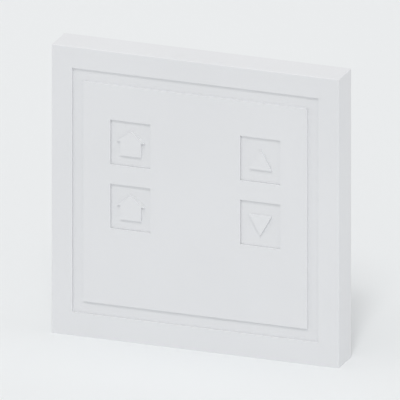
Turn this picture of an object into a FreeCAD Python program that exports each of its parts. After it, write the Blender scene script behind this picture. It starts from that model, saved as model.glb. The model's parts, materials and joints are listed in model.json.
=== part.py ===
import FreeCAD, Part
import math
import os
import re
import Sketcher

# Ventilation control panel: a thin square wall panel with four pictogram keys.
# X runs to the right, Y into the wall and Z up, in millimetres.
# The origin is the centre of the back face, on the wall.
# Heights are counted off the wall, towards the user.

os.makedirs("parts", exist_ok=True)
doc = FreeCAD.newDocument("VentilationPanel")
sheet = doc.addObject("Spreadsheet::Sheet", "Sizes")
nodes = []

# Driving sizes
sizes = {
    # Panel and its front
    "panel_wide": 84,
    "panel_tall": 84,
    "recess_deep": 0.6,  # depth of the channel and of the windows
    "side_border": 6.0,
    "top_border": 6.2,
    "bottom_border": 6.8,
    "side_channel": 3.2,  # channel beside the centre plate
    "end_channel": 3.5,  # channel above and below it
    "cover_wall": 1.8,
    "cover_web": 1.6,  # thickness of the cover's front
    "cover_round": 0.3,  # edge break of the cover's outer edges
    "trim_round": 0.04,  # edge break of the plate and of the opening
    "field_gap": 0.02,  # between the carrier's raised field and the opening
    "edge_gap": 0.25,  # room between the cover's walls and what it closes over
    # Keys
    "column_out": 19,  # each key column from the middle
    "upper_row": 15.6,
    "row_pitch": 18.6,
    "window_wide": 11.7,
    "window_tall": 13.0,
    "key_gap": 0.05,  # running gap round a key cap
    "key_travel": 0.5,
    "key_rest_gap": 0.05,  # between a resting key's flange and the carrier
    "press_room": 0.3,  # left under a key that is fully pressed
    "flange_play": 0.4,  # room round a key's flange in the rear shell
    "flange_lip": 0.8,
    "flange_thick": 0.6,
    "symbol_proud": 0.6,
    "house_wide": 6.1,
    "house_wall": 4.1,
    "roof_wide": 8.1,
    "roof_tall": 3.1,
    "arrow_wide": 6.5,
    "arrow_tall": 5.8,
    "sign_shift": 0.1,  # middle of a house or up arrow to the right of its key's middle
    "house_rise": 0.1,  # middle of a house above its key's middle
    "up_arrow_rise": 0.2,  # and of the up arrow
    "down_arrow_drop": 0.4,  # middle of the down arrow below its key's middle
    "light_foot_wide": 4.0,
    "light_foot_tall": 1.4,
    "insert_gap": 0.02,  # glued fit of a symbol in its cap
    # Housing
    "carrier_thick": 2.1,  # through the raised field
    "post_side": 5.0,
    "post_inset": 4.0,  # post middle from the carrier's edge
    "shell_floor": 0.9,
    "shell_wall": 1.2,
    "shell_inset_low": 8.0,  # rear shell's lower edge from the carrier's lower edge
    "wall_sheet": 1.0,
    "plate_peg": 2.0,  # diameter of the pegs behind the centre plate
    "peg_inset": 3.5,
    "peg_rest": 0.2,  # how far a peg stops short of the carrier's back
    "peg_gap": 0.05,
    # Circuit board and its screws
    "board_beside": 5.5,  # board's edge beyond a key column's middle
    "board_over": 15.5,  # and beyond the middle of the upper row
    "board_under": 15.5,  # and beyond the middle of the lower row
    "board_thick": 1.0,
    "board_rise": 1.3,
    "board_gap": 0.25,
    "screw_inset_x": 2.5,
    "screw_inset_low": 3.0,
    "screw_inset_top": 3.0,
    "screw_thread": 2.0,
    "screw_play": 0.2,  # radial room round a screw where it only passes
    "thread_fit": 0.03,
    "screw_head": 3.8,
    "head_thick": 0.9,
    "head_rest": 0.1,  # a screw head lies this far under the shell's back
    "boss_wide": 5.0,
    "screw_bite": 3.0,  # depth of the screw hole in a carrier boss
    "screw_end_room": 0.2,
    # Wall plate
    "box_screw_spacing": 60,  # fixing screws of a standard wall box
    "fixing_slot_long": 8,
    "fixing_slot_tall": 4,
    "cable_wide": 14,
    "cable_tall": 7,
    "cable_margin": 1.0,  # the wall plate's opening is this much wider on each side
    "tab_wide": 12,
    "tab_rise": 4.0,
    "catch_wide": 9,
    "catch_tall": 1.4,
    "catch_up": 1.3,  # catch slot above the sheet
    "catch_play": 0.15,
    "catch_reach": 0.7,
    "stud_wide": 3.0,
    "stud_rest": 0.3,  # how far a locating stud stops short of the wall
    "stud_play": 0.1,
    "stud_out": 16,
    "stud_up": 24,
    # Key switch
    "switch_wide": 4.2,
    "switch_well": 2.4,
    "switch_rim": 0.2,
    "switch_well_floor": 0.3,
    "switch_sheet": 0.15,
    "dome_sheet": 0.08,
    "dome_play": 0.1,
    "dome_rest": 0.02,  # between the resting dome and its plunger
    "bottom_room": 0.12,  # under the plunger's foot when fully pressed
    "foot_play": 0.15,
    "foot_rest": 0.05,  # between the plunger's foot and the lid
    "plunger_foot_high": 0.33,
    "plunger_wide": 1.5,
    "plunger_play": 0.05,
    # Parts on the board
    "light_wide": 1.6,
    "light_tall": 0.8,
    "light_high": 0.6,
    "light_gap": 0.3,  # between a switch and its light
    "terminal_wide": 14,
    "terminal_tall": 8,
    "terminal_high": 2.7,
    "terminal_room": 0.2,  # between the terminal and the carrier, at least
    "terminal_ways": 4,
    "terminal_edge": 0.4,
    "way_wide": 2.3,
    "way_high": 1.7,
    "way_deep": 6,
    "way_up": 0.5,
    "clamp_sheet": 0.3,
    "clamp_play": 0.2,
    "clamp_leaf": 2.8,
    "release_wide": 1.2,
    "release_tall": 0.6,
    "release_deep": 0.5,
    "release_drop": 2.5,  # release slot below the terminal's upper edge
    "controller_side": 7,
    "controller_high": 0.9,
    "dimple_wide": 0.6,
    "dimple_deep": 0.1,
    "dimple_inset": 1.0,
    "transceiver_wide": 4.9,
    "transceiver_tall": 3.9,
    "transceiver_high": 1.4,
    "regulator_wide": 6.5,
    "regulator_tall": 3.5,
    "regulator_high": 1.6,
    "lead_pitch": 1.27,
    "regulator_pitch": 2.3,
    "lead_wide": 0.42,
    "lead_long": 1.05,
    "lead_sheet": 0.2,
    "lead_under": 0.6,  # part of a lead under its package
    "chip_row_drop": 1.5,  # bus and supply chips below the lower key row
    "transceiver_out": 5.0,
    "regulator_out": 4.5,
    "capacitor_wide": 7.3,
    "capacitor_tall": 4.3,
    "capacitor_high": 1.9,
    "choke_side": 4,
    "choke_high": 1.8,
    "choke_flange": 0.4,
    "choke_waist": 0.6,
    "choke_out": 5.0,
    "capacitor_out": 4.0,
    "supply_row_drop": 3.0,  # supply parts below the upper screws
    "crystal_wide": 3.2,
    "crystal_tall": 2.5,
    "crystal_high": 0.7,
    "passive_wide": 1.6,
    "passive_tall": 0.8,
    "passive_high": 0.5,
    "passive_pitch": 2.6,
    "passive_columns": 4,
    "passive_row_gap": 1.0,
    "drive_long": 2.1,  # cross recess in a screw head
    "drive_wide": 0.55,
}

# Sizes worked out from the driving ones
derived = {
    "opening_wide": "=panel_wide - 2 * side_border",
    "opening_tall": "=panel_tall - top_border - bottom_border",
    "opening_middle": "=(bottom_border - top_border) / 2",
    "plate_wide": "=opening_wide - 2 * side_channel",
    "plate_tall": "=opening_tall - 2 * end_channel",
    "lower_row": "=upper_row - row_pitch",
    "switch_tall": "=switch_well + 2 * switch_rim",
    "light_out": "=switch_tall / 2 + light_gap + light_tall / 2",  # from the key's middle
    "switch_body_high": "=switch_well_floor + bottom_room + key_travel + plunger_foot_high + foot_rest",
    "dome_wide": "=switch_well - 2 * dome_play",
    "dome_high": "=bottom_room + key_travel - dome_rest",
    "dome_radius": "=(dome_wide * dome_wide / 4 + dome_high * dome_high) / (2 * dome_high)",
    "plunger_foot_wide": "=switch_well - 2 * foot_play",
    "switch_stack": "=switch_body_high + switch_sheet",
    "key_stack": "=switch_stack + press_room + key_travel + flange_thick + key_rest_gap",
    "board_room": "=max(key_stack; terminal_high + terminal_room)",  # between the board and the carrier
    "peg_long": "=carrier_thick - peg_rest",
    "stud_long": "=wall_sheet - stud_rest",
    "head_sink": "=head_thick + head_rest",
    "cap_wide": "=window_wide - 2 * key_gap",
    "cap_tall": "=window_tall - 2 * key_gap",
    "flange_wide": "=cap_wide + 2 * flange_lip",
    "flange_tall": "=cap_tall + 2 * flange_lip",
    "inside_wide": "=panel_wide - 2 * cover_wall",
    "inside_tall": "=panel_tall - 2 * cover_wall",
    "carrier_wide": "=inside_wide - 2 * edge_gap",
    "carrier_tall": "=inside_tall - 2 * edge_gap",
    "shell_inside_floor": "=wall_sheet + shell_floor",
    "board_back": "=shell_inside_floor + board_rise",
    "board_front": "=board_back + board_thick",
    "carrier_back": "=board_front + board_room",
    "plate_back": "=carrier_back + carrier_thick",  # level of the channel floor
    "panel_deep": "=plate_back + recess_deep",
    "web_back": "=panel_deep - cover_web",
    "field_high": "=plate_back - web_back",  # raised field of the carrier, which fills the opening
    "board_wide": "=2 * (column_out + board_beside)",
    "board_low": "=lower_row - board_under",
    "board_top": "=upper_row + board_over",
    "board_tall": "=board_top - board_low",
    "board_middle": "=(board_top + board_low) / 2",
    "shell_room_wide": "=board_wide + 2 * board_gap",
    "shell_room_low": "=shell_inset_low + shell_wall - carrier_tall / 2",
    "shell_room_top": "=board_top + board_gap",
    "shell_room_tall": "=shell_room_top - shell_room_low",
    "shell_middle": "=(shell_room_top + shell_room_low) / 2",
    "cable_middle": "=(board_low + shell_room_low) / 2",  # the wiring space lies below the board
    "screw_out": "=board_wide / 2 - screw_inset_x",
    "screw_low": "=board_low + screw_inset_low",
    "screw_top": "=board_top - screw_inset_top",
    "screw_pass": "=screw_thread + 2 * screw_play",
    "screw_seat": "=wall_sheet + head_sink",
    "screw_tip": "=board_front + screw_bite - screw_end_room",
    "post_out_x": "=carrier_wide / 2 - post_inset",
    "post_out_z": "=carrier_tall / 2 - post_inset",
    "peg_out_x": "=plate_wide / 2 - peg_inset",
    "peg_out_z": "=plate_tall / 2 - peg_inset",
    "switch_top": "=board_front + switch_stack",
    "cap_back": "=carrier_back - key_rest_gap - flange_thick",
    "well_floor": "=board_front + switch_well_floor",
    "plunger_foot_top": "=board_front + switch_body_high - foot_rest",
    "terminal_middle": "=board_low + terminal_edge + terminal_tall / 2",
    "way_pitch": "=terminal_wide / terminal_ways",
}

for row, (alias, amount) in enumerate((*sizes.items(), *derived.items()), start=1):
    sheet.set("A%d" % row, alias.replace("_", " "))
    sheet.set("B%d" % row, str(amount))
    sheet.setAlias("B%d" % row, alias)
aliases = sizes.keys() | derived.keys()
doc.recompute()


def bound(text):
    """Turn an expression in the sheet's own names into one that other objects can use."""
    return re.sub("[a-z][a-z_]*", lambda m: ("Sizes." if m.group() in aliases else "") + m.group(), text)


def tie(thing, prop, text):
    thing.setExpression(prop, bound(text))


def now(alias):
    """A size's present value, to find edges by and to count with."""
    return float(sheet.get(alias))


def new_body(label, x="0", z="0"):
    body = doc.addObject("PartDesign::Body", label)
    body.Label = label
    tie(body, "Placement.Base.x", x)
    tie(body, "Placement.Base.z", z)
    nodes.append(body)
    return body


def new_sketch(body, name, x, up, level):
    """Sketch parallel to the wall on the body's own plane, its origin moved to x, up and level."""
    plane = next(f for f in body.Origin.OriginFeatures if f.Role == "XZ_Plane")
    sketch = body.newObject("Sketcher::SketchObject", name)
    sketch.AttachmentSupport = [(plane, "")]
    sketch.MapMode = "FlatFace"
    tie(sketch, "AttachmentOffset.Base.x", x)
    tie(sketch, "AttachmentOffset.Base.y", up)
    tie(sketch, "AttachmentOffset.Base.z", level)
    return sketch


def named(sketch, rule, name, text):
    index = sketch.addConstraint(rule)
    sketch.renameConstraint(index, name)
    tie(sketch, "Constraints." + name, text)


def closed_lines(sketch, points):
    """Closed outline of small size. The named constraints then stretch it to its real size."""
    corners = [FreeCAD.Vector(px, py, 0) for px, py in points]
    count = len(corners)
    for i in range(count):
        sketch.addGeometry(Part.LineSegment(corners[i], corners[(i + 1) % count]), False)
    for i in range(count):
        sketch.addConstraint(Sketcher.Constraint("Coincident", i, 2, (i + 1) % count, 1))


def rectangle(body, name, x, z, level, wide, tall):
    """Rectangle about its own middle."""
    sketch = new_sketch(body, name, x, z, level)
    closed_lines(sketch, [(-1, -1), (1, -1), (1, 1), (-1, 1)])
    for line, way in enumerate(("Horizontal", "Vertical", "Horizontal", "Vertical")):
        sketch.addConstraint(Sketcher.Constraint(way, line))
    sketch.addConstraint(Sketcher.Constraint("Symmetric", 0, 1, 1, 2, -1, 1))
    named(sketch, Sketcher.Constraint("DistanceX", 0, 1, 0, 2, 2), "wide", wide)
    named(sketch, Sketcher.Constraint("DistanceY", 1, 1, 1, 2, 2), "tall", tall)
    return sketch


def circle(body, name, x, z, level, across):
    sketch = new_sketch(body, name, x, z, level)
    sketch.addGeometry(Part.Circle(FreeCAD.Vector(0, 0, 0), FreeCAD.Vector(0, 0, 1), 1), False)
    sketch.addConstraint(Sketcher.Constraint("Coincident", 0, 3, -1, 1))
    named(sketch, Sketcher.Constraint("Diameter", 0, 2), "across", across)
    return sketch


def triangle(body, name, x, base_z, level, wide, tall, points_up):
    """Triangle with a level base through its own origin and its tip above or below."""
    sketch = new_sketch(body, name, x, base_z, level)
    tip = 1 if points_up else -1
    closed_lines(sketch, [(-1, 0), (1, 0), (0, tip)])
    sketch.addConstraint(Sketcher.Constraint("Symmetric", 0, 1, 0, 2, -1, 1))
    sketch.addConstraint(Sketcher.Constraint("PointOnObject", 0, 1, -1))
    sketch.addConstraint(Sketcher.Constraint("PointOnObject", 2, 1, -2))
    named(sketch, Sketcher.Constraint("DistanceX", 0, 1, 0, 2, 2), "wide", wide)
    ends = (-1, 1, 2, 1) if points_up else (2, 1, -1, 1)
    named(sketch, Sketcher.Constraint("DistanceY", *ends, 1), "tall", tall)
    return sketch


def slot(body, name, x, z, level, long, tall):
    """Slot with round ends, lying level, about its own middle."""
    sketch = new_sketch(body, name, x, z, level)
    radius = now(tall) / 2
    reach = now(long) / 2 - radius
    up = FreeCAD.Vector(0, 0, 1)
    left = Part.Circle(FreeCAD.Vector(-reach, 0, 0), up, radius)
    right = Part.Circle(FreeCAD.Vector(reach, 0, 0), up, radius)
    quarter = math.pi / 2
    low_left = FreeCAD.Vector(-reach, -radius, 0)
    low_right = FreeCAD.Vector(reach, -radius, 0)
    top_right = FreeCAD.Vector(reach, radius, 0)
    top_left = FreeCAD.Vector(-reach, radius, 0)
    sketch.addGeometry(Part.ArcOfCircle(left, quarter, 3 * quarter), False)
    sketch.addGeometry(Part.LineSegment(low_left, low_right), False)
    sketch.addGeometry(Part.ArcOfCircle(right, -quarter, quarter), False)
    sketch.addGeometry(Part.LineSegment(top_right, top_left), False)
    sketch.addConstraint(Sketcher.Constraint("Tangent", 0, 2, 1, 1))
    sketch.addConstraint(Sketcher.Constraint("Tangent", 1, 2, 2, 1))
    sketch.addConstraint(Sketcher.Constraint("Tangent", 2, 2, 3, 1))
    sketch.addConstraint(Sketcher.Constraint("Tangent", 3, 2, 0, 1))
    sketch.addConstraint(Sketcher.Constraint("Horizontal", 1))
    sketch.addConstraint(Sketcher.Constraint("Symmetric", 0, 3, 2, 3, -1, 1))
    named(sketch, Sketcher.Constraint("Radius", 0, radius), "end_radius", tall + " / 2")
    named(sketch, Sketcher.Constraint("DistanceX", 0, 3, 2, 3, 2 * reach), "centres", long + " - " + tall)
    return sketch


def pad(body, sketch, length):
    made = body.newObject("PartDesign::Pad", sketch.Name + "Pad")
    made.Profile = sketch
    tie(made, "Length", length)
    sketch.Visibility = False
    doc.recompute()
    return made


def pocket(body, sketch, length):
    """Cut from the sketch's level towards the wall."""
    made = body.newObject("PartDesign::Pocket", sketch.Name + "Pocket")
    made.Profile = sketch
    tie(made, "Length", length)
    sketch.Visibility = False
    before = body.Shape.Volume
    doc.recompute()
    if not body.Shape.Volume < before:
        raise RuntimeError("pocket cuts nothing: " + made.Name)
    return made


def dress(body, kind, name, amount, wanted):
    """Fillet or chamfer the edges of the body's last feature that the wanted test picks."""
    base = body.Tip
    picked = ["Edge%d" % (i + 1) for i, edge in enumerate(base.Shape.Edges) if wanted(edge)]
    made = body.newObject("PartDesign::" + kind, name)
    made.Base = (base, picked)
    tie(made, "Radius" if kind == "Fillet" else "Size", amount)
    doc.recompute()
    return made


def at(edge, axis, level):
    """True for an edge that lies wholly at one coordinate."""
    low = getattr(edge.BoundBox, axis + "Min")
    high = getattr(edge.BoundBox, axis + "Max")
    return abs(low - level) < 0.001 and abs(high - level) < 0.001


def block(name, x, z, wide, tall, low, high):
    """Plain box by its middle across the panel and its two heights off the wall."""
    made = doc.addObject("Part::Box", name)
    made.Label = name
    tie(made, "Length", wide)
    tie(made, "Width", "(%s) - (%s)" % (high, low))
    tie(made, "Height", tall)
    tie(made, "Placement.Base.x", "(%s) - (%s) / 2" % (x, wide))
    tie(made, "Placement.Base.y", "-(%s)" % high)
    tie(made, "Placement.Base.z", "(%s) - (%s) / 2" % (z, tall))
    return made


def disc(name, x, z, across, low, high):
    """Round bar along Y by its middle and its two heights off the wall."""
    made = doc.addObject("Part::Cylinder", name)
    made.Label = name
    tie(made, "Radius", "(%s) / 2" % across)
    tie(made, "Height", "(%s) - (%s)" % (high, low))
    made.Placement.Rotation = FreeCAD.Rotation(FreeCAD.Vector(1, 0, 0), 90)
    tie(made, "Placement.Base.x", x)
    tie(made, "Placement.Base.y", "-(%s)" % low)
    tie(made, "Placement.Base.z", z)
    return made


def fused(name, shapes):
    made = doc.addObject("Part::MultiFuse", name)
    made.Label = name
    made.Shapes = shapes
    return made


def cut(name, base, tool):
    made = doc.addObject("Part::Cut", name)
    made.Label = name
    made.Base = base
    made.Tool = tool
    return made


def group(name, shapes):
    """Identical pieces that share one node, each a solid of its own."""
    made = doc.addObject("Part::Compound", name)
    made.Label = name
    made.Links = shapes
    nodes.append(made)
    return made


corners = (("left_low", -1, -1), ("right_low", 1, -1), ("left_top", -1, 1), ("right_top", 1, 1))
middle = "opening_middle"

# Cover frame: web round the opening, four walls to the wall plane, four catches
cover = new_body("cover_frame")
pad(cover, rectangle(cover, "CoverOutline", "0", "0", "0", "panel_wide", "panel_tall"), "panel_deep")
pocket(cover, rectangle(cover, "CoverInside", "0", "0", "web_back", "inside_wide", "inside_tall"),
       "web_back")
pocket(cover, rectangle(cover, "CoverOpening", "0", middle, "panel_deep", "opening_wide", "opening_tall"),
       "cover_web")
half_wide = now("panel_wide") / 2
half_tall = now("panel_tall") / 2
front = -now("panel_deep")


def cover_edge(edge):
    """Edges of the cover's left, right and upper sides, but not where they stand on the wall."""
    beside = at(edge, "X", half_wide) or at(edge, "X", -half_wide)
    on_side = beside or at(edge, "Z", half_tall)
    return on_side and not at(edge, "Y", 0) and not at(edge, "Z", -half_tall)


dress(cover, "Fillet", "CoverEdges", "cover_round", cover_edge)
opening_x = now("opening_wide") / 2
opening_top = now("opening_middle") + now("opening_tall") / 2
opening_low = now("opening_middle") - now("opening_tall") / 2


def opening_edge(edge):
    """Front edges of the opening in the cover."""
    middle_of = edge.CenterOfMass
    inside_x = abs(middle_of.x) < opening_x + 0.01
    return at(edge, "Y", front) and inside_x and opening_low - 0.01 < middle_of.z < opening_top + 0.01


dress(cover, "Fillet", "OpeningEdges", "trim_round", opening_edge)
for side, turn in (("Right", 1), ("Left", -1)):
    pad(cover, rectangle(cover, side + "Catch",
                         "%d * (inside_wide / 2 - (edge_gap + catch_reach) / 2)" % turn, "0",
                         "wall_sheet + catch_up + catch_play", "edge_gap + catch_reach",
                         "catch_wide - 2 * catch_play"), "catch_tall - 2 * catch_play")
for side, turn in (("Top", 1), ("Bottom", -1)):
    pad(cover, rectangle(cover, side + "Catch", "0",
                         "%d * (inside_tall / 2 - (edge_gap + catch_reach) / 2)" % turn,
                         "wall_sheet + catch_up + catch_play", "catch_wide - 2 * catch_play",
                         "edge_gap + catch_reach"), "catch_tall - 2 * catch_play")

# Centre plate with its four windows and the pegs that hold it in the carrier
plate = new_body("front_plate")
pad(plate, rectangle(plate, "PlateOutline", "0", middle, "plate_back", "plate_wide", "plate_tall"),
    "recess_deep")
key_places = (
    ("Away", -1, "upper_row"),
    ("Home", -1, "lower_row"),
    ("Up", 1, "upper_row"),
    ("Down", 1, "lower_row"),
)
for name, turn, row in key_places:
    pocket(plate, rectangle(plate, name + "Window", "%d * column_out" % turn, row, "panel_deep",
                            "window_wide", "window_tall"), "recess_deep")
dress(plate, "Fillet", "PlateEdges", "trim_round", lambda e: at(e, "Y", front))
for name, turn, rise in corners:
    pad(plate, circle(plate, "Peg_" + name, "%d * peg_out_x" % turn,
                      "opening_middle + %d * peg_out_z" % rise, "plate_back - peg_long", "plate_peg"),
        "peg_long")

# Carrier: channel floor and key guide, with posts to the wall plate and screw bosses
carrier = new_body("carrier")
pad(carrier, rectangle(carrier, "CarrierOutline", "0", "0", "carrier_back", "carrier_wide",
                       "carrier_tall"), "carrier_thick - field_high")
pad(carrier, rectangle(carrier, "CarrierField", "0", middle, "web_back", "opening_wide - 2 * field_gap",
                       "opening_tall - 2 * field_gap"), "field_high")
for name, turn, row in key_places:
    pocket(carrier, rectangle(carrier, name + "Guide", "%d * column_out" % turn, row, "plate_back",
                              "window_wide", "window_tall"), "carrier_thick")
for name, turn, rise in corners:
    pocket(carrier, circle(carrier, "PegHole_" + name, "%d * peg_out_x" % turn,
                           "opening_middle + %d * peg_out_z" % rise, "plate_back",
                           "plate_peg + 2 * peg_gap"), "carrier_thick")
    pad(carrier, rectangle(carrier, "Post_" + name, "%d * post_out_x" % turn, "%d * post_out_z" % rise,
                           "wall_sheet", "post_side", "post_side"), "carrier_back - wall_sheet")
for name, turn, rise in corners:
    row = "screw_top" if rise > 0 else "screw_low"
    pad(carrier, circle(carrier, "Boss_" + name, "%d * screw_out" % turn, row, "board_front",
                        "boss_wide"), "carrier_back - board_front")
    pocket(carrier, circle(carrier, "Pilot_" + name, "%d * screw_out" % turn, row,
                           "board_front + screw_bite", "screw_thread + 2 * thread_fit"), "screw_bite")

# Rear shell: tray for the board with the wiring space below it
shell = new_body("rear_shell")
pad(shell, rectangle(shell, "ShellOutline", "0", "shell_middle", "wall_sheet",
                     "shell_room_wide + 2 * shell_wall", "shell_room_tall + 2 * shell_wall"),
    "carrier_back - wall_sheet")
pocket(shell, rectangle(shell, "ShellRoom", "0", "shell_middle", "carrier_back", "shell_room_wide",
                        "shell_room_tall"), "carrier_back - shell_inside_floor")
for name, turn, rise in corners:
    row = "screw_top" if rise > 0 else "screw_low"
    pad(shell, circle(shell, "Stand_" + name, "%d * screw_out" % turn, row, "shell_inside_floor",
                      "boss_wide"), "board_rise")
for name, turn, rise in corners:
    row = "screw_top" if rise > 0 else "screw_low"
    pocket(shell, circle(shell, "Pass_" + name, "%d * screw_out" % turn, row, "board_back", "screw_pass"),
           "board_back - wall_sheet")
    pocket(shell, circle(shell, "Sink_" + name, "%d * screw_out" % turn, row, "screw_seat",
                         "screw_head + 2 * screw_play"), "head_sink")
for name, turn, row in key_places:
    pocket(shell, rectangle(shell, name + "Relief", "%d * column_out" % turn, row, "carrier_back",
                            "flange_wide + 2 * flange_play", "flange_tall + 2 * flange_play"),
           "carrier_back - cap_back + key_travel + press_room / 2")
pocket(shell, rectangle(shell, "ShellCable", "0", "cable_middle", "shell_inside_floor", "cable_wide",
                        "cable_tall"), "shell_floor")
for side, turn in (("Left", -1), ("Right", 1)):
    pad(shell, circle(shell, "Stud" + side, "%d * stud_out" % turn, "stud_up", "wall_sheet - stud_long",
                      "stud_wide"), "stud_long")

# Wall plate: steel sheet with four turned-up tabs, slots for the box screws and the cable opening
wall_plate = new_body("wall_plate")
pad(wall_plate, rectangle(wall_plate, "SheetOutline", "0", "0", "0", "carrier_wide", "carrier_tall"),
    "wall_sheet")
for side, turn in (("Right", 1), ("Left", -1)):
    tab_x = "%d * (carrier_wide - wall_sheet) / 2" % turn
    pad(wall_plate, rectangle(wall_plate, side + "Tab", tab_x, "0", "wall_sheet", "wall_sheet",
                              "tab_wide"), "tab_rise")
    pocket(wall_plate, rectangle(wall_plate, side + "Slot", tab_x, "0",
                                 "wall_sheet + catch_up + catch_tall", "wall_sheet", "catch_wide"),
           "catch_tall")
    pocket(wall_plate, slot(wall_plate, side + "Fixing", "%d * box_screw_spacing / 2" % turn, "0",
                            "wall_sheet", "fixing_slot_long", "fixing_slot_tall"), "wall_sheet")
    pocket(wall_plate, circle(wall_plate, side + "StudHole", "%d * stud_out" % turn, "stud_up",
                              "wall_sheet", "stud_wide + 2 * stud_play"), "wall_sheet")
for side, turn in (("Top", 1), ("Bottom", -1)):
    tab_z = "%d * (carrier_tall - wall_sheet) / 2" % turn
    pad(wall_plate, rectangle(wall_plate, side + "Tab", "0", tab_z, "wall_sheet", "tab_wide",
                              "wall_sheet"), "tab_rise")
    pocket(wall_plate, rectangle(wall_plate, side + "Slot", "0", tab_z,
                                 "wall_sheet + catch_up + catch_tall", "catch_wide", "wall_sheet"),
           "catch_tall")
pocket(wall_plate, rectangle(wall_plate, "SheetCable", "0", "cable_middle", "wall_sheet",
                             "cable_wide + 2 * cable_margin", "cable_tall + 2 * cable_margin"),
       "wall_sheet")

# Circuit board
board = new_body("circuit_board")
pad(board, rectangle(board, "BoardOutline", "0", "board_middle", "board_back", "board_wide",
                     "board_tall"), "board_thick")
for name, turn, rise in corners:
    row = "screw_top" if rise > 0 else "screw_low"
    pocket(board, circle(board, "BoardHole_" + name, "%d * screw_out" % turn, row, "board_front",
                         "screw_pass"), "board_thick")


def ball(name, x, z, level, radius):
    made = doc.addObject("Part::Sphere", name)
    made.Label = name
    tie(made, "Radius", radius)
    tie(made, "Placement.Base.x", x)
    tie(made, "Placement.Base.y", "-(%s)" % level)
    tie(made, "Placement.Base.z", z)
    return made


def snap_dome(name, x, z):
    """Thin round sheet bulging towards the user: the part of a hollow ball above the well's floor."""
    centre = "well_floor + dome_high - dome_radius"
    outer = ball(name + "_outer", x, z, centre, "dome_radius")
    inner = ball(name + "_inner", x, z, centre, "dome_radius - dome_sheet")
    keep = block(name + "_keep", x, z, "2 * dome_wide", "2 * dome_wide", "well_floor",
                 "well_floor + dome_high")
    made = doc.addObject("Part::MultiCommon", name)
    made.Label = name
    made.Shapes = [cut(name + "_hollow", outer, inner), keep]
    return made


def make_key(name, turn, row, symbol, shift, rise):
    """One key: cap with flange, raised symbol with its light foot, and the switch under it."""
    x = "%d * column_out" % turn
    foot_turn = 1 if symbol == "arrow_down" else -1
    foot_z = "%d * light_out + %s" % (foot_turn, rise)
    title = name.capitalize()

    cap = new_body(name + "_key", x, row)
    pad(cap, rectangle(cap, title + "Cap", "0", "0", "cap_back", "cap_wide", "cap_tall"),
        "plate_back - cap_back")
    pad(cap, rectangle(cap, title + "Flange", "0", "0", "cap_back", "flange_wide", "flange_tall"),
        "flange_thick")
    pocket(cap, rectangle(cap, title + "LightWay", "0", foot_z, "plate_back", "light_foot_wide",
                          "light_foot_tall"), "plate_back - cap_back")

    sign = new_body(name + "_symbol", x, row)
    if symbol == "house":
        eaves = "house_wall - (house_wall + roof_tall) / 2 + " + rise
        pad(sign, rectangle(sign, title + "Walls", shift, rise + " - roof_tall / 2", "plate_back",
                            "house_wide", "house_wall"), "symbol_proud")
        pad(sign, triangle(sign, title + "Roof", shift, eaves, "plate_back", "roof_wide", "roof_tall",
                           True), "symbol_proud")
    elif symbol == "arrow_up":
        pad(sign, triangle(sign, title + "Arrow", shift, rise + " - arrow_tall / 2", "plate_back",
                           "arrow_wide", "arrow_tall", True), "symbol_proud")
    else:
        pad(sign, triangle(sign, title + "Arrow", shift, "arrow_tall / 2 + " + rise, "plate_back",
                           "arrow_wide", "arrow_tall", False), "symbol_proud")
    pad(sign, rectangle(sign, title + "Foot", "0", foot_z, "cap_back", "light_foot_wide - 2 * insert_gap",
                        "light_foot_tall - 2 * insert_gap"), "plate_back - cap_back")

    plunger = new_body(name + "_plunger", x, row)
    pad(plunger, circle(plunger, title + "PlungerFoot", "0", "0", "plunger_foot_top - plunger_foot_high",
                        "plunger_foot_wide"), "plunger_foot_high")
    pad(plunger, circle(plunger, title + "PlungerTip", "0", "0", "plunger_foot_top", "plunger_wide"),
        "cap_back - plunger_foot_top")

    housing = new_body(name + "_switch_body", x, row)
    pad(housing, rectangle(housing, title + "SwitchBlock", "0", "0", "board_front", "switch_wide",
                           "switch_tall"), "switch_body_high")
    pocket(housing, circle(housing, title + "SwitchWell", "0", "0", "board_front + switch_body_high",
                           "switch_well"), "switch_body_high - switch_well_floor")

    lid = new_body(name + "_switch_lid", x, row)
    pad(lid, rectangle(lid, title + "Lid", "0", "0", "board_front + switch_body_high", "switch_wide",
                       "switch_tall"), "switch_sheet")
    pocket(lid, circle(lid, title + "LidHole", "0", "0", "switch_top", "plunger_wide + 2 * plunger_play"),
           "switch_sheet")

    nodes.append(snap_dome(name + "_switch_dome", x, row))

    nodes.append(block(name + "_light", x, "%s + %d * light_out" % (row, foot_turn), "light_wide",
                       "light_tall", "board_front", "board_front + light_high"))


# Each key's pictogram, with its place to the right of and above the key's middle
key_signs = (
    ("house", "sign_shift", "house_rise"),
    ("house", "sign_shift", "house_rise"),
    ("arrow_up", "sign_shift", "up_arrow_rise"),
    ("arrow_down", "0", "(-down_arrow_drop)"),
)
for (name, turn, row), (sign_kind, shift, rise) in zip(key_places, key_signs):
    make_key(name.lower(), turn, row, sign_kind, shift, rise)

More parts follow.
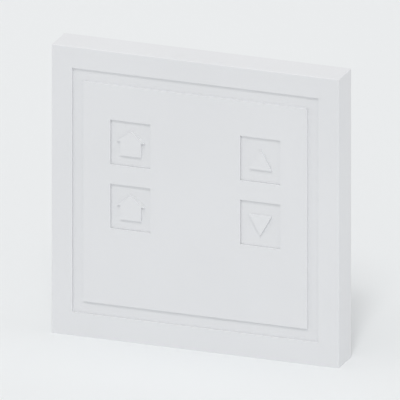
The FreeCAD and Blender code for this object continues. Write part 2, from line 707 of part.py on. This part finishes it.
# Terminal for the four bus wires, its ways open downwards
terminal = new_body("terminal_block")
pad(terminal, rectangle(terminal, "TerminalBlock", "0", "terminal_middle", "board_front", "terminal_wide",
                        "terminal_tall"), "terminal_high")
clamps = []
for way in range(int(now("terminal_ways"))):
    way_x = "(%d - (terminal_ways - 1) / 2) * way_pitch" % way
    way_z = "terminal_middle - terminal_tall / 2 + way_deep / 2"
    pocket(terminal, rectangle(terminal, "Way%d" % way, way_x, way_z, "board_front + way_up + way_high",
                               "way_wide", "way_deep"), "way_high")
    pocket(terminal, rectangle(terminal, "Release%d" % way, way_x,
                               "terminal_middle + terminal_tall / 2 - release_drop",
                               "board_front + terminal_high", "release_wide", "release_tall"),
           "release_deep")
    clamp_end = way_z + " + way_deep / 2 - clamp_play"
    clamp_wide = "way_wide - 2 * clamp_play"
    clamp_low = "board_front + way_up"
    clamp_high = "board_front + way_up + way_high - clamp_play"
    base = block("ClampBase%d" % way, way_x, way_z, clamp_wide, "way_deep - 2 * clamp_play", clamp_low,
                 clamp_low + " + clamp_sheet")
    back = block("ClampBack%d" % way, way_x, clamp_end + " - clamp_sheet / 2", clamp_wide, "clamp_sheet",
                 clamp_low, clamp_high)
    leaf = block("ClampLeaf%d" % way, way_x, clamp_end + " - clamp_leaf / 2",
                 clamp_wide + " - 2 * clamp_play", "clamp_leaf", clamp_high + " - clamp_sheet",
                 clamp_high)
    clamps.append(fused("Clamp%d" % way, [base, back, leaf]))
group("terminal_clamps", clamps)


def leaded_chip(name, x, z, wide, tall, high, pitch, count, both_sides):
    """Moulded package standing on flat leads along its upper and lower edges."""
    shapes = [block(name + "Case", x, z, wide, tall, "board_front + lead_sheet / 2",
                    "board_front + " + high)]
    sides = (-1, 1) if both_sides else (-1,)
    for side in sides:
        for i in range(count):
            lead_x = "(%s) + (%d - (%d - 1) / 2) * %s" % (x, i, count, pitch)
            lead_z = "(%s) + %d * ((%s) + lead_long) / 2" % (z, side, tall)
            shapes.append(block("%sLead%d_%d" % (name, side + 1, i), lead_x, lead_z, "lead_wide",
                                "lead_long + lead_under", "board_front", "board_front + lead_sheet"))
    if not both_sides:
        shapes.append(block(name + "Tab", x, "(%s) + ((%s) + lead_long) / 2" % (z, tall), "%s / 2" % wide,
                            "lead_long + lead_under", "board_front", "board_front + lead_sheet"))
    made = fused(name, shapes)
    nodes.append(made)


# Parts between the key columns
middle_row = "(upper_row + lower_row) / 2"
controller = block("ControllerCase", "0", middle_row, "controller_side", "controller_side", "board_front",
                   "board_front + controller_high")
dimple = disc("ControllerDimple", "dimple_inset - controller_side / 2",
              middle_row + " + controller_side / 2 - dimple_inset", "dimple_wide",
              "board_front + controller_high - dimple_deep",
              "board_front + controller_high + dimple_deep")
nodes.append(cut("microcontroller", controller, dimple))
chip_line = "lower_row - chip_row_drop"
leaded_chip("bus_transceiver", "-transceiver_out", chip_line, "transceiver_wide", "transceiver_tall",
            "transceiver_high", "lead_pitch", 4, True)
leaded_chip("voltage_regulator", "regulator_out", chip_line, "regulator_wide", "regulator_tall",
            "regulator_high", "regulator_pitch", 3, False)
upper_line = "screw_top - supply_row_drop"
nodes.append(block("buffer_capacitor", "-capacitor_out", upper_line, "capacitor_wide", "capacitor_tall",
                   "board_front", "board_front + capacitor_high"))
choke_core = disc("ChokeCore", "choke_out", upper_line, "choke_side - choke_waist",
                  "board_front + choke_flange", "board_front + choke_high - choke_flange")
choke_foot = block("ChokeFoot", "choke_out", upper_line, "choke_side", "choke_side", "board_front",
                   "board_front + choke_flange")
choke_top = block("ChokeTop", "choke_out", upper_line, "choke_side", "choke_side",
                  "board_front + choke_high - choke_flange", "board_front + choke_high")
nodes.append(fused("choke", [choke_foot, choke_core, choke_top]))
crystal_line = middle_row + " + (controller_side + crystal_tall) / 2 + passive_row_gap"
nodes.append(block("crystal", "0", crystal_line, "crystal_wide", "crystal_tall",
                   "board_front", "board_front + crystal_high"))
upper_passives = upper_line + " - capacitor_tall / 2 - passive_row_gap - passive_tall / 2"
lower_passives = middle_row + " - controller_side / 2 - passive_row_gap"
passives = []
for i in range(int(now("passive_columns"))):
    line_x = "(%d - (passive_columns - 1) / 2) * passive_pitch" % i
    for row_name, row_z in (("Upper", upper_passives), ("Lower", lower_passives)):
        passives.append(block("Passive%s%d" % (row_name, i), line_x, row_z, "passive_wide", "passive_tall",
                              "board_front", "board_front + passive_high"))
group("chip_passives", passives)

# Four housing screws, driven from the back before the panel goes on its wall plate
screws = []
for name, turn, rise in corners:
    x = "%d * screw_out" % turn
    z = "screw_top" if rise > 0 else "screw_low"
    head = disc("Head_" + name, x, z, "screw_head", "screw_seat - head_thick", "screw_seat")
    shank = disc("Shank_" + name, x, z, "screw_thread", "screw_seat - head_thick / 2", "screw_tip")
    level_bar = block("DriveLevel_" + name, x, z, "drive_long", "drive_wide", "screw_seat - head_thick",
                      "screw_seat - head_thick / 2")
    upright_bar = block("DriveUpright_" + name, x, z, "drive_wide", "drive_long",
                        "screw_seat - head_thick", "screw_seat - head_thick / 2")
    drive = fused("Drive_" + name, [level_bar, upright_bar])
    solid = fused("ScrewSolid_" + name, [head, shank])
    screws.append(cut("Screw_" + name, solid, drive))
group("housing_screws", screws)

doc.recompute()
for item in doc.Objects:
    if "Invalid" in item.State or "Error" in item.State:
        raise RuntimeError("not computed: " + item.Label)
for node in nodes:
    if node.Shape.isNull() or not node.Shape.isValid():
        raise RuntimeError("bad shape: " + node.Label)
for node in nodes:
    node.Shape.exportStep(os.path.join("parts", node.Label + ".step"))
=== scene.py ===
import json
import math

import bpy
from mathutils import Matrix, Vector


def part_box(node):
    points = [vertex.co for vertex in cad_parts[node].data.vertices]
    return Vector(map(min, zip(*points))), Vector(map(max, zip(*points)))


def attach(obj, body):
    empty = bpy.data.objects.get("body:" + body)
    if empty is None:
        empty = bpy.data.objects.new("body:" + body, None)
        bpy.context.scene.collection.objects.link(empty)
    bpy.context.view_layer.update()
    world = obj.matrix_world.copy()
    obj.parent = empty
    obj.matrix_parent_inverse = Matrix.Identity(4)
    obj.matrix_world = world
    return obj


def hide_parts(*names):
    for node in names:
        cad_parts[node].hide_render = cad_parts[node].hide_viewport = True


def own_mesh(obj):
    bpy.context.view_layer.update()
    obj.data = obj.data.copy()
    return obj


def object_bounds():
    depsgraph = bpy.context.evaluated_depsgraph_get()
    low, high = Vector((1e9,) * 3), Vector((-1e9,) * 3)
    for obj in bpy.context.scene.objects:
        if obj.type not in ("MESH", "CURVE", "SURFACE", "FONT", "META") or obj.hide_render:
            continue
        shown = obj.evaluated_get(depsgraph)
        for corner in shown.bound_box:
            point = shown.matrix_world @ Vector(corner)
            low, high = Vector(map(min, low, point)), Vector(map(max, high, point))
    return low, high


# Looks of the ventilation control panel: matt white plastic on a pale floor, in soft studio light.
# Metres, X to the right, Y into the wall, Z up, as in the frame.

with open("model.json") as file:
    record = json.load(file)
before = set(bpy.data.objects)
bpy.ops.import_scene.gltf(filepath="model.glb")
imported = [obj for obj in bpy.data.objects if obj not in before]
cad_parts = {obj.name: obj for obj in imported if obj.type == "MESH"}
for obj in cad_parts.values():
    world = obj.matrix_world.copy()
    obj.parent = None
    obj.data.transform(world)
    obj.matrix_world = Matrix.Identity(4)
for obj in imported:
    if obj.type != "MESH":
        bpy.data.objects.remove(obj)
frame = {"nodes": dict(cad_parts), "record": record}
cad_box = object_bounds()
nodes = frame["nodes"]
scene = bpy.context.scene

# The photograph's camera: parallel view from the right and above
CAMERA_AZIMUTH = math.radians(20.45)
CAMERA_ELEVATION = math.radians(19.46)
CAMERA_FAR = 0.6
CAMERA_CLIP = (0.01, 60.0)
PHOTO_SIDE = 400
PIXELS_PER_METRE = 3646.4
FACE_PIXEL = (195.15, 206.2)  # middle of the panel's front in the photograph


def linear(level):
    """One channel of a screen colour, 0 to 255, as the linear number that shaders take."""
    share = level / 255
    if share <= 0.04045:
        return share / 12.92
    return ((share + 0.055) / 1.055) ** 2.4


def colour(red, green, blue):
    return (linear(red), linear(green), linear(blue), 1.0)


class Shader:
    """A material's node tree with short names for what the materials here need."""

    def __init__(self, name):
        self.material = bpy.data.materials.new(name)
        self.material.use_nodes = True
        self.tree = self.material.node_tree
        self.surface = self.tree.nodes["Principled BSDF"]
        places = self.tree.nodes.new("ShaderNodeTexCoord")
        self.place = places.outputs["Object"]
        self.share = places.outputs["Generated"]  # 0 to 1 across the node's own box

    def node(self, kind, **fields):
        made = self.tree.nodes.new(kind)
        for key, amount in fields.items():
            setattr(made, key, amount)
        return made

    def link(self, out, into):
        self.tree.links.new(out, into)

    def maths(self, operation, *amounts):
        """One Math node; each amount is a number or another node's output."""
        made = self.node("ShaderNodeMath", operation=operation)
        for socket, amount in zip(made.inputs, amounts):
            if isinstance(amount, (int, float)):
                socket.default_value = amount
            else:
                self.link(amount, socket)
        return made.outputs["Value"]

    def stretched(self, factors):
        """The place with each axis scaled, so that a pattern is drawn out along the small ones."""
        made = self.node("ShaderNodeMapping")
        made.inputs["Scale"].default_value = factors
        self.link(self.place, made.inputs["Vector"])
        return made.outputs["Vector"]

    def noise(self, scale, detail=2.0, where=None):
        made = self.node("ShaderNodeTexNoise")
        made.inputs["Scale"].default_value = scale
        made.inputs["Detail"].default_value = detail
        self.link(where or self.place, made.inputs["Vector"])
        return made.outputs["Fac"]

    def cells(self, scale):
        """A random number for each cell of a crystal pattern."""
        made = self.node("ShaderNodeTexVoronoi")
        made.inputs["Scale"].default_value = scale
        self.link(self.place, made.inputs["Vector"])
        return made.outputs["Color"]

    def along(self, axis, where=None):
        made = self.node("ShaderNodeSeparateXYZ")
        self.link(where or self.place, made.inputs["Vector"])
        return made.outputs[axis]

    def between(self, out, low, high):
        """1 where a number lies between two others, and 0 elsewhere."""
        return self.maths("COMPARE", out, (low + high) / 2, (high - low) / 2)

    def spread(self, out, low, high, start=0.3, end=0.7):
        """A number's range from start to end, stretched from low to high."""
        made = self.node("ShaderNodeMapRange")
        made.inputs["From Min"].default_value = start
        made.inputs["From Max"].default_value = end
        made.inputs["To Min"].default_value = low
        made.inputs["To Max"].default_value = high
        self.link(out, made.inputs["Value"])
        return made.outputs["Result"]

    def blend(self, share, first, second):
        """Two colours mixed; each is a colour or another node's output."""
        made = self.node("ShaderNodeMix", data_type="RGBA")
        self.link(share, made.inputs["Factor"])
        for socket, shade in (("A", first), ("B", second)):
            if isinstance(shade, tuple):
                made.inputs[socket].default_value = shade
            else:
                self.link(shade, made.inputs[socket])
        return made.outputs["Result"]

    def finish(self, shade, rough, height, depth):
        """Connects colour, roughness and relief, which nearly every material has."""
        self.link(shade, self.surface.inputs["Base Color"])
        self.link(rough, self.surface.inputs["Roughness"])
        made = self.node("ShaderNodeBump")
        made.inputs["Distance"].default_value = depth
        self.link(height, made.inputs["Height"])
        self.link(made.outputs["Normal"], self.surface.inputs["Normal"])
        return self.material


# Sizes of the fine patterns, in metres
TRACE_PITCH = 0.0009
TRACE_HALF = TRACE_PITCH / 5
LEAD_LONG = 0.00105
CHOKE_FLANGE = 0.0004
WIRE = 0.00018
PASSIVE_PITCH = 0.0026
PASSIVE_BODY = 0.001

# How fine the irregular patterns are: spots, lines or cells in a metre
SHADE_DRIFT = 35.0
GLOSS_SPECKLE = 9000.0
MOULD_GRAIN = 5200.0
CHIP_GRAIN = 4200.0
CAPACITOR_GRAIN = 4600.0
BRUSHED_LINES = 300.0
ROLLED_LINES = 240.0
ZINC_CRYSTALS = 260.0
TRACE_ZONES = 170.0
MASK_GLOSS = 900.0
PHOSPHOR_CLOUDS = 3500.0

# Height of their relief, in metres
BRUSHED_RELIEF = 0.000006
ROLLED_RELIEF = 0.000005
TRACE_RELIEF = 0.00003
MOULD_RELIEF = 0.00001
PHOSPHOR_RELIEF = 0.000004

# How far roughness strays either side of its middle
PLASTIC_STRAY = 0.05
METAL_STRAY = 0.08

# Shares of a zone pattern's range, or of a piece's width
LEVEL_ZONES_OVER = 0.62
UPRIGHT_ZONES_UNDER = 0.38
STRIPE_START = 0.06
STRIPE_END = 0.2
DIE_HALF = 0.33


def shift(tone, step):
    """A screen colour made lighter or darker by some levels."""
    return colour(*(level + step for level in tone))


def plastic(name, tone, rough=0.65, grain=0.000012, specular=0.2, drift=1):
    """Moulded plastic: a fine spark-eroded grain and a slight drift in shade."""
    made = Shader(name)
    made.surface.inputs["Specular IOR Level"].default_value = specular
    drifting = made.spread(made.noise(SHADE_DRIFT), 0.0, 1.0)
    shade = made.blend(drifting, shift(tone, -drift), shift(tone, drift))
    gloss = made.spread(made.noise(GLOSS_SPECKLE), rough - PLASTIC_STRAY, rough + PLASTIC_STRAY)
    return made.finish(shade, gloss, made.noise(MOULD_GRAIN, 3.0), grain)


def metal(name, tone, rough=0.35, factors=(40.0, 1.0, 1.0)):
    """Brushed, rolled or turned metal, its fine lines along one way."""
    made = Shader(name)
    made.surface.inputs["Metallic"].default_value = 1.0
    lines = made.noise(BRUSHED_LINES, 3.0, made.stretched(factors))
    shade = made.blend(made.spread(lines, 0.0, 1.0), shift(tone, -8), shift(tone, 6))
    gloss = made.spread(lines, rough - METAL_STRAY, rough + METAL_STRAY)
    return made.finish(shade, gloss, lines, BRUSHED_RELIEF)


def zinc(name, tone, rough=0.42):
    """Zinc-coated sheet: faint crystals a few millimetres wide over the fine lines of rolling."""
    made = Shader(name)
    made.surface.inputs["Metallic"].default_value = 1.0
    crystals = made.cells(ZINC_CRYSTALS)
    lines = made.noise(ROLLED_LINES, 3.0, made.stretched((1.0, 1.0, 30.0)))
    shade = made.blend(crystals, shift(tone, -9), shift(tone, 7))
    shade = made.blend(made.spread(lines, 0.0, 0.3), shade, shift(tone, 16))
    gloss = made.spread(crystals, rough - METAL_STRAY, rough + METAL_STRAY, 0.0, 1.0)
    return made.finish(shade, gloss, lines, ROLLED_RELIEF)


def laminate(name, tone, trace_tone):
    """Circuit board: solder mask over copper traces, which run level here and upright there."""
    made = Shader(name)
    made.surface.inputs["Specular IOR Level"].default_value = 0.5
    level = made.between(made.maths("PINGPONG", made.along("Z"), TRACE_PITCH / 2), 0.0, TRACE_HALF)
    upright = made.between(made.maths("PINGPONG", made.along("X"), TRACE_PITCH / 2), 0.0, TRACE_HALF)
    zones = made.cells(TRACE_ZONES)
    levels = made.maths("MULTIPLY", level, made.maths("GREATER_THAN", zones, LEVEL_ZONES_OVER))
    uprights = made.maths("MULTIPLY", upright, made.maths("LESS_THAN", zones, UPRIGHT_ZONES_UNDER))
    traces = made.maths("MAXIMUM", levels, uprights)
    shade = made.blend(traces, colour(*tone), colour(*trace_tone))
    return made.finish(shade, made.spread(made.noise(MASK_GLOSS), 0.28, 0.4), traces, TRACE_RELIEF)


def leaded(name, node, tone, lead_tone):
    """Moulded chip, whose flat leads stick out of it above and below."""
    made = Shader(name)
    low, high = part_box(node)
    case = made.between(made.along("Z"), low[2] + LEAD_LONG, high[2] - LEAD_LONG)
    mould = made.noise(CHIP_GRAIN, 3.0)
    made.link(made.maths("SUBTRACT", 1.0, case), made.surface.inputs["Metallic"])
    shade = made.blend(case, colour(*lead_tone), made.blend(mould, shift(tone, -4), shift(tone, 5)))
    return made.finish(shade, made.spread(case, 0.28, 0.55, 0.0, 1.0), mould, MOULD_RELIEF)


def coil(name, node, tone, wire_tone):
    """Choke: enamelled wire wound between two ferrite flanges, with painted shade darkening the wire between
    turns and a painted highlight on each turn's crest.
    """
    made = Shader(name)
    low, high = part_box(node)
    height = made.along("Y")
    wound = made.between(height, low[1] + CHOKE_FLANGE, high[1] - CHOKE_FLANGE)
    turns = made.maths("PINGPONG", height, WIRE / 2)
    made.link(made.spread(wound, 0.0, 0.8, 0.0, 1.0), made.surface.inputs["Metallic"])
    # Painted shade and painted highlight: the wire's colour is 50 levels darker in the grooves between turns
    # and lighter on each crest. The same crests also drive the bump.
    crest_relief_and_painted_shade = made.spread(turns, 0.0, 1.0, 0.0, WIRE / 2)
    wire_with_painted_shade = made.blend(crest_relief_and_painted_shade, shift(wire_tone, -50), shift(wire_tone, 10))
    core_shade = made.blend(made.noise(MOULD_GRAIN, 3.0), shift(tone, -6), shift(tone, 8))
    shade = made.blend(wound, core_shade, wire_with_painted_shade)
    gloss = made.spread(wound, 0.7, 0.3, 0.0, 1.0)
    return made.finish(shade, gloss, made.maths("MULTIPLY", wound, crest_relief_and_painted_shade), WIRE / 2)


def striped(name, tone, stripe_tone):
    """Moulded capacitor with a stripe at its positive end."""
    made = Shader(name)
    made.surface.inputs["Specular IOR Level"].default_value = 0.4
    stripe = made.between(made.along("X", made.share), STRIPE_START, STRIPE_END)
    mould = made.noise(CAPACITOR_GRAIN, 3.0)
    body = made.blend(mould, shift(tone, -5), shift(tone, 5))
    shade = made.blend(stripe, body, colour(*stripe_tone))
    return made.finish(shade, made.spread(mould, 0.4, 0.5), mould, MOULD_RELIEF)


def capped(name, tone, cap_tone):
    """Chip resistors and capacitors in a row: dark bodies with tinned ends."""
    made = Shader(name)
    from_gap = made.maths("PINGPONG", made.along("X"), PASSIVE_PITCH / 2)
    ends = made.between(from_gap, 0.0, PASSIVE_PITCH / 2 - PASSIVE_BODY / 2)
    grain = made.noise(MOULD_GRAIN, 3.0)
    made.link(ends, made.surface.inputs["Metallic"])
    body = made.blend(grain, shift(tone, -8), shift(tone, 8))
    gloss = made.spread(ends, 0.5, 0.3, 0.0, 1.0)
    return made.finish(made.blend(ends, body, colour(*cap_tone)), gloss, grain, MOULD_RELIEF)


def lit_die(name, tone, die_tone):
    """Chip light: a pale case round a clear window over yellow phosphor."""
    made = Shader(name)
    made.surface.inputs["Specular IOR Level"].default_value = 0.5
    across = made.maths("ABSOLUTE", made.maths("SUBTRACT", made.along("X", made.share), 0.5))
    upright = made.maths("ABSOLUTE", made.maths("SUBTRACT", made.along("Z", made.share), 0.5))
    window = made.maths("LESS_THAN", made.maths("MAXIMUM", across, upright), DIE_HALF)
    cloud = made.noise(PHOSPHOR_CLOUDS)
    glow = made.blend(cloud, shift(die_tone, -8), shift(die_tone, 8))
    gloss = made.spread(window, 0.45, 0.15, 0.0, 1.0)
    return made.finish(made.blend(window, colour(*tone), glow), gloss, cloud, PHOSPHOR_RELIEF)


FRONT_TONE = (228, 229, 231)
CHIP_TONE = (34, 34, 36)
TIN_TONE = (204, 202, 196)
materials = {
    "cover_plastic": plastic("cover_plastic", FRONT_TONE),
    "plate_plastic": plastic("plate_plastic", FRONT_TONE),
    "carrier_plastic": plastic("carrier_plastic", FRONT_TONE),
    "key_plastic": plastic("key_plastic", FRONT_TONE),
    "symbol_plastic": plastic("symbol_plastic", FRONT_TONE, 0.6, 0.000008),
    "shell_plastic": plastic("shell_plastic", (214, 216, 218), 0.5, 0.00002, drift=3),
    "zinc_sheet": zinc("zinc_sheet", (188, 191, 194)),
    "board_laminate": laminate("board_laminate", (24, 84, 54), (58, 124, 78)),
    "chip_mould": plastic("chip_mould", CHIP_TONE, 0.5, 0.00002, 0.4, 3),
    "capacitor_mould": striped("capacitor_mould", (196, 150, 70), (96, 58, 26)),
    "ferrite": coil("ferrite", "choke", (58, 58, 62), (186, 104, 58)),
    "can_metal": metal("can_metal", (206, 204, 198), 0.28),
    "clamp_metal": metal("clamp_metal", (208, 204, 190), 0.3),
    "terminal_plastic": plastic("terminal_plastic", (209, 209, 204), 0.4, 0.000015, 0.5, 2),
    "passive_ceramic": capped("passive_ceramic", (122, 98, 76), TIN_TONE),
    "screw_steel": metal("screw_steel", (182, 184, 188), 0.3, (1.0, 30.0, 1.0)),
    "plunger_plastic": plastic("plunger_plastic", (36, 36, 38), 0.4, 0.000008, 0.4, 2),
    "switch_plastic": plastic("switch_plastic", (44, 44, 46), 0.45, 0.000012, 0.4, 2),
    "light_resin": lit_die("light_resin", (236, 236, 230), (238, 206, 92)),
}
LEADED_CHIPS = ("bus_transceiver", "voltage_regulator")
leaded_chips = {name: leaded(name, name, CHIP_TONE, TIN_TONE) for name in LEADED_CHIPS}

for subpart in frame["record"]["subparts"]:
    mesh = nodes[subpart["node"]].data
    mesh.materials.clear()
    mesh.materials.append(leaded_chips.get(subpart["node"]) or materials[subpart["material_slot"]])

# Snap domes: thin spring caps on the board, built in their rest shape; the real ones flatten as their
# plungers come in
KEYS = ("away", "home", "up", "down")
DOME_SHEET = 0.00008
DOME_STEPS = 12
DOME_SPOKES = 48


def cap_profile(radius, rise):
    """Points (distance from the middle, depth under the top) along a round cap's outside and back inside."""
    outer = (radius ** 2 + rise ** 2) / (2 * rise)
    sides = []
    for ball in (outer, outer - DOME_SHEET):
        widest = math.acos((outer - rise) / ball)
        turns = [widest * step / DOME_STEPS for step in range(DOME_STEPS + 1)]
        sides.append([(ball * math.sin(turn), outer - ball * math.cos(turn)) for turn in turns])
    outside, inside = sides
    return outside + inside[::-1]


def turned(profile, top):
    """Points and faces of a profile turned about the line along Y through its top. Its ends lie there."""
    points = []
    rings = []
    for out, down in profile:
        spokes = DOME_SPOKES if out else 1
        rings.append([len(points) + spoke % spokes for spoke in range(DOME_SPOKES + 1)])
        for spoke in range(spokes):
            turn = math.tau * spoke / spokes
            points.append((top.x + out * math.cos(turn), top.y + down, top.z + out * math.sin(turn)))
    faces = []
    for near, far in zip(rings, rings[1:]):
        for spoke in range(DOME_SPOKES):
            corners = (near[spoke], far[spoke], far[spoke + 1], near[spoke + 1])
            faces.append(tuple(dict.fromkeys(corners)))  # a corner on the axis counts once
    return points, faces


def snap_dome(key):
    """One dome in the place of its solid, its rim on the board."""
    solid = key + "_switch_dome"
    low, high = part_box(solid)
    middle = (low + high) / 2
    profile = cap_profile(high.x - middle.x, high.y - low.y)
    points, faces = turned(profile, Vector((middle.x, low.y, middle.z)))
    mesh = bpy.data.meshes.new(key + "_dome")
    mesh.from_pydata(points, [], faces)
    mesh.shade_smooth()
    mesh.materials.append(materials["clamp_metal"])
    dome = bpy.data.objects.new(key + "_dome", mesh)
    scene.collection.objects.link(dome)
    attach(dome, "panel")
    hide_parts(solid)
    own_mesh(dome)


for key in KEYS:
    snap_dome(key)

# Floor: one wide plane under the panel's bottom edge
FLOOR_TONE = (235, 237, 238)
FLOOR_REACH = 20.0
FLOOR_CORNERS = ((-1, -1), (1, -1), (1, 1), (-1, 1))
floor_mesh = bpy.data.meshes.new("floor")
floor_points = [(x * FLOOR_REACH, y * FLOOR_REACH, cad_box[0].z) for x, y in FLOOR_CORNERS]
floor_mesh.from_pydata(floor_points, [], [(0, 1, 2, 3)])
floor = bpy.data.objects.new("floor", floor_mesh)
scene.collection.objects.link(floor)
floor_look = Shader("floor")
floor_look.surface.inputs["Base Color"].default_value = colour(*FLOOR_TONE)
floor_look.surface.inputs["Roughness"].default_value = 0.9
floor_look.surface.inputs["Specular IOR Level"].default_value = 0.0
floor.data.materials.append(floor_look.material)

# World: an even white sky lights the panel, and rays that see past it get the backdrop's tone
SKY_LEVEL = 0.57
world = bpy.data.worlds.new("studio")
scene.world = world
world.use_nodes = True
tree = world.node_tree
backdrop = tree.nodes["Background"]
backdrop.inputs["Color"].default_value = colour(*FLOOR_TONE)
sky = tree.nodes.new("ShaderNodeBackground")
sky.inputs["Color"].default_value = (1.0, 1.0, 1.0, 1.0)
sky.inputs["Strength"].default_value = SKY_LEVEL
rays = tree.nodes.new("ShaderNodeLightPath")
seen = rays.outputs["Is Camera Ray"]
for kind in ("Is Glossy Ray", "Is Transmission Ray"):
    either = tree.nodes.new("ShaderNodeMath")
    either.operation = "MAXIMUM"
    tree.links.new(seen, either.inputs[0])
    tree.links.new(rays.outputs[kind], either.inputs[1])
    seen = either.outputs["Value"]
mixed = tree.nodes.new("ShaderNodeMixShader")
tree.links.new(seen, mixed.inputs["Fac"])
tree.links.new(sky.outputs["Background"], mixed.inputs[1])
tree.links.new(backdrop.outputs["Background"], mixed.inputs[2])
tree.links.new(mixed.outputs["Shader"], tree.nodes["World Output"].inputs["Surface"])


def from_direction(azimuth, elevation):
    """Unit vector towards a viewer or a lamp: 0 is in front of the panel, and positive turns to its right."""
    level = math.cos(elevation)
    return Vector((math.sin(azimuth) * level, -math.cos(azimuth) * level, math.sin(elevation)))


def aim(thing, back):
    thing.rotation_mode = "QUATERNION"
    thing.rotation_quaternion = (-back).to_track_quat("-Z", "Y")


# Soft boxes round the panel: azimuth, elevation and apparent size in degrees, then the strength
LAMPS = {
    "key": (16, 50, 12, 0.41),
    "high_key": (15, 58, 8, 0.44),
    "high_left": (-60, 40, 15, 0.12),
    "top": (0, 90, 40, 0.47),
    "right": (90, 0, 30, 0.71),
    "left": (-90, 0, 30, 0.4),
    "front": (0, 0, 30, 0.31),
    "rear": (180, 0, 30, 0.4),
}
for name, (azimuth, elevation, size, strength) in LAMPS.items():
    lamp = bpy.data.objects.new(name, bpy.data.lights.new(name, "SUN"))
    lamp.data.energy = strength
    lamp.data.angle = math.radians(size)
    aim(lamp, from_direction(math.radians(azimuth), math.radians(elevation)))
    scene.collection.objects.link(lamp)

# Camera: its axis meets the panel's front where the photograph's middle pixel is
camera = bpy.data.objects.new("camera", bpy.data.cameras.new("camera"))
camera.data.type = "ORTHO"
camera.data.ortho_scale = PHOTO_SIDE / PIXELS_PER_METRE
camera.data.clip_start, camera.data.clip_end = CAMERA_CLIP
back = from_direction(CAMERA_AZIMUTH, CAMERA_ELEVATION)
aim(camera, back)
camera_right = camera.rotation_quaternion @ Vector((1, 0, 0))
camera_up = camera.rotation_quaternion @ Vector((0, 1, 0))
face_middle = Vector((0, cad_box[0].y, 0))
right_of_face = (PHOTO_SIDE / 2 - FACE_PIXEL[0]) / PIXELS_PER_METRE
above_face = (FACE_PIXEL[1] - PHOTO_SIDE / 2) / PIXELS_PER_METRE
camera.location = face_middle + camera_right * right_of_face + camera_up * above_face + back * CAMERA_FAR
scene.collection.objects.link(camera)
scene.camera = camera

scene.view_settings.view_transform = "Standard"
